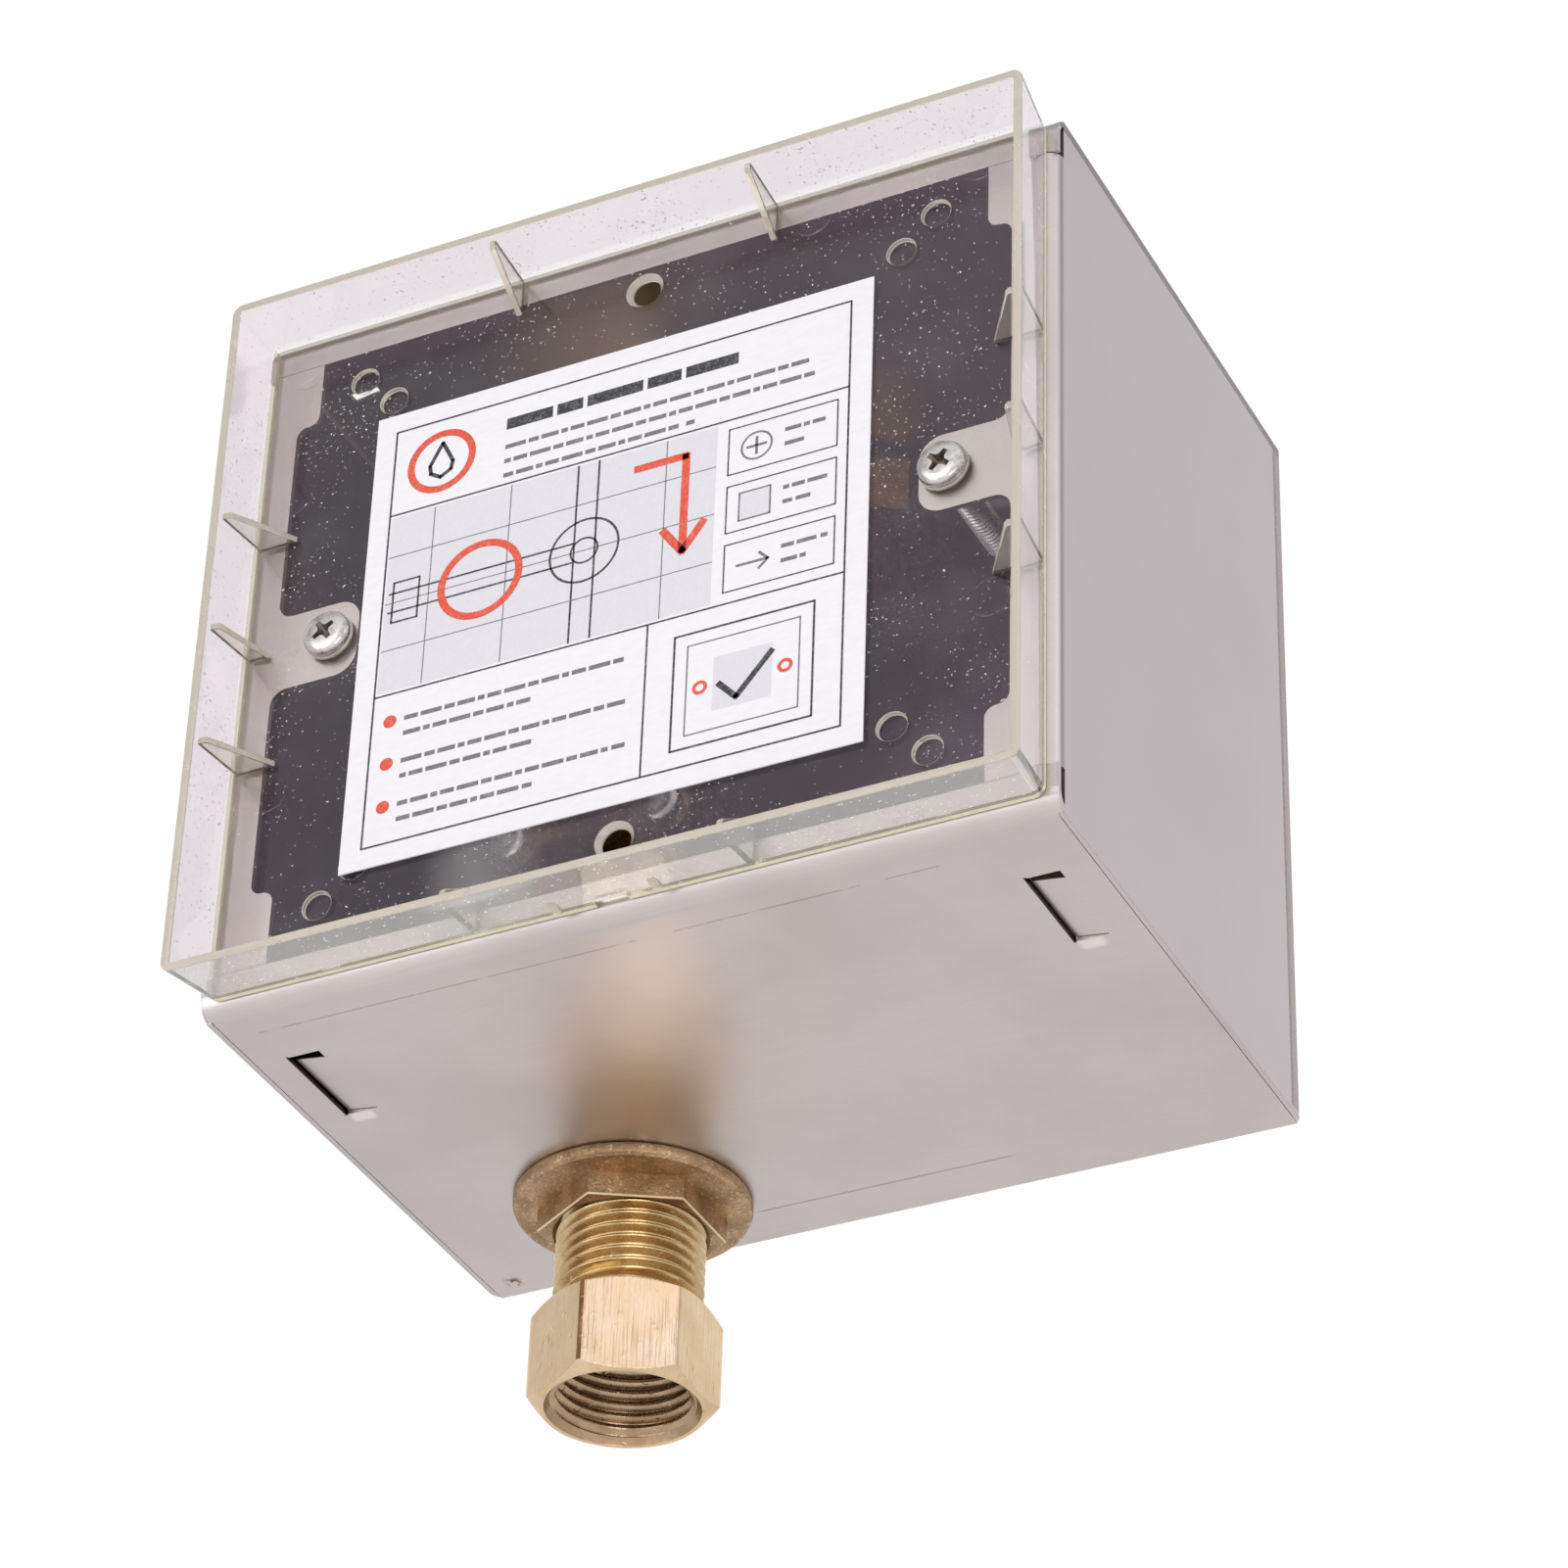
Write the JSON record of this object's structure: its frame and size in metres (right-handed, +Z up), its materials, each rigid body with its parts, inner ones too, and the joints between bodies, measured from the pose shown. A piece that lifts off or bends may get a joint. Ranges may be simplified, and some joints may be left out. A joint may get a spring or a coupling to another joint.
{
  "type": "automatic urinal flush valve",
  "caption": "Sheet-steel in-wall box with a brass solenoid flush valve inside, threaded pipe sockets above and below, and a clear tray screwed over its open front.",
  "frame": {"origin": "centre of the box's outer back face", "axes": "+Z up, +Y out of the back into the wall, so the open front faces -Y, +X to the right seen from the front"},
  "size_m": [0.124, 0.0934, 0.1788],
  "materials": {
    "steel": "brushed stainless sheet",
    "bar_brass": "turned bar brass",
    "cast_brass": "sand-cast brass",
    "rubber": "matt",
    "screw_steel": "turned stainless",
    "spring_steel": "drawn wire",
    "white_plastic": "moulded",
    "black_plastic": "moulded",
    "clear_plastic": "clear, slightly yellow, moulded",
    "label": "printed sheet"
  },
  "bodies": {
    "box": {"box_wrapper": "steel", "top_panel": "steel", "bottom_panel": "steel", "inlet_fitting": "bar_brass", "outlet_fitting": "bar_brass", "inlet_lock_nut": "cast_brass", "outlet_lock_nut": "cast_brass", "inlet_gasket": "rubber", "outlet_gasket": "rubber", "valve_body": "cast_brass", "bonnet": "cast_brass", "bonnet_screws": "screw_steel", "diaphragm": "rubber", "guide_tube": "screw_steel", "coil": "black_plastic", "coil_nut": "bar_brass", "diaphragm_spring": "spring_steel", "plunger_spring": "spring_steel"},
    "cover": {"cover_tray": "clear_plastic", "label_sheet": "label"},
    "left_screw": {"cover_screw_left": "screw_steel"},
    "right_screw": {"cover_screw_right": "screw_steel"},
    "cap": {"strainer_cap": "bar_brass", "cap_gasket": "rubber", "strainer_screen": "screw_steel"},
    "spindle": {"stop_spindle": "bar_brass"},
    "stop_disc": {"stop_disc": "bar_brass", "disc_facing": "rubber"},
    "diaphragm_plate": {"diaphragm_plate": "white_plastic"},
    "plunger": {"plunger": "screw_steel", "plunger_seal": "rubber"}
  },
  "joints": [
    {"name": "cover_lift", "type": "slide", "parent": "box", "child": "cover", "axis": [0, -1, 0], "range_m": [0, 0.1]},
    {"name": "left_screw_turn", "type": "hinge", "parent": "cover", "child": "left_screw", "pos_m": [-0.0463, -0.0841, 0], "axis": [0, -1, 0], "continuous": true},
    {"name": "right_screw_turn", "type": "hinge", "parent": "cover", "child": "right_screw", "pos_m": [0.0463, -0.0841, 0], "axis": [0, -1, 0], "continuous": true},
    {"name": "strainer_cap_out", "type": "slide", "parent": "box", "child": "cap", "axis": [0, -1, 0], "range_m": [0, 0.028]},
    {"name": "stop_travel", "type": "slide", "parent": "cap", "child": "stop_disc", "axis": [0, 1, 0], "range_m": [0, 0.002]},
    {"name": "stop_turn", "type": "hinge", "parent": "cap", "child": "spindle", "pos_m": [-0.0312, -0.037, 0.036], "axis": [0, 1, 0], "range_deg": [0, 722]},
    {"name": "diaphragm_lift", "type": "slide", "parent": "box", "child": "diaphragm_plate", "axis": [0, -1, 0], "range_m": [0, 0.0024], "stiffness_N_per_m": 250, "springref_m": -0.002, "deforming": ["diaphragm_spring", "diaphragm"]},
    {"name": "plunger_lift", "type": "slide", "parent": "box", "child": "plunger", "axis": [0, -1, 0], "range_m": [0, 0.0012], "stiffness_N_per_m": 400, "springref_m": -0.002, "deforming": ["plunger_spring"]}
  ],
  "couplings": [
    {"joint": "stop_turn", "follows": "stop_travel", "rad_per_m": 6283.2}
  ]
}
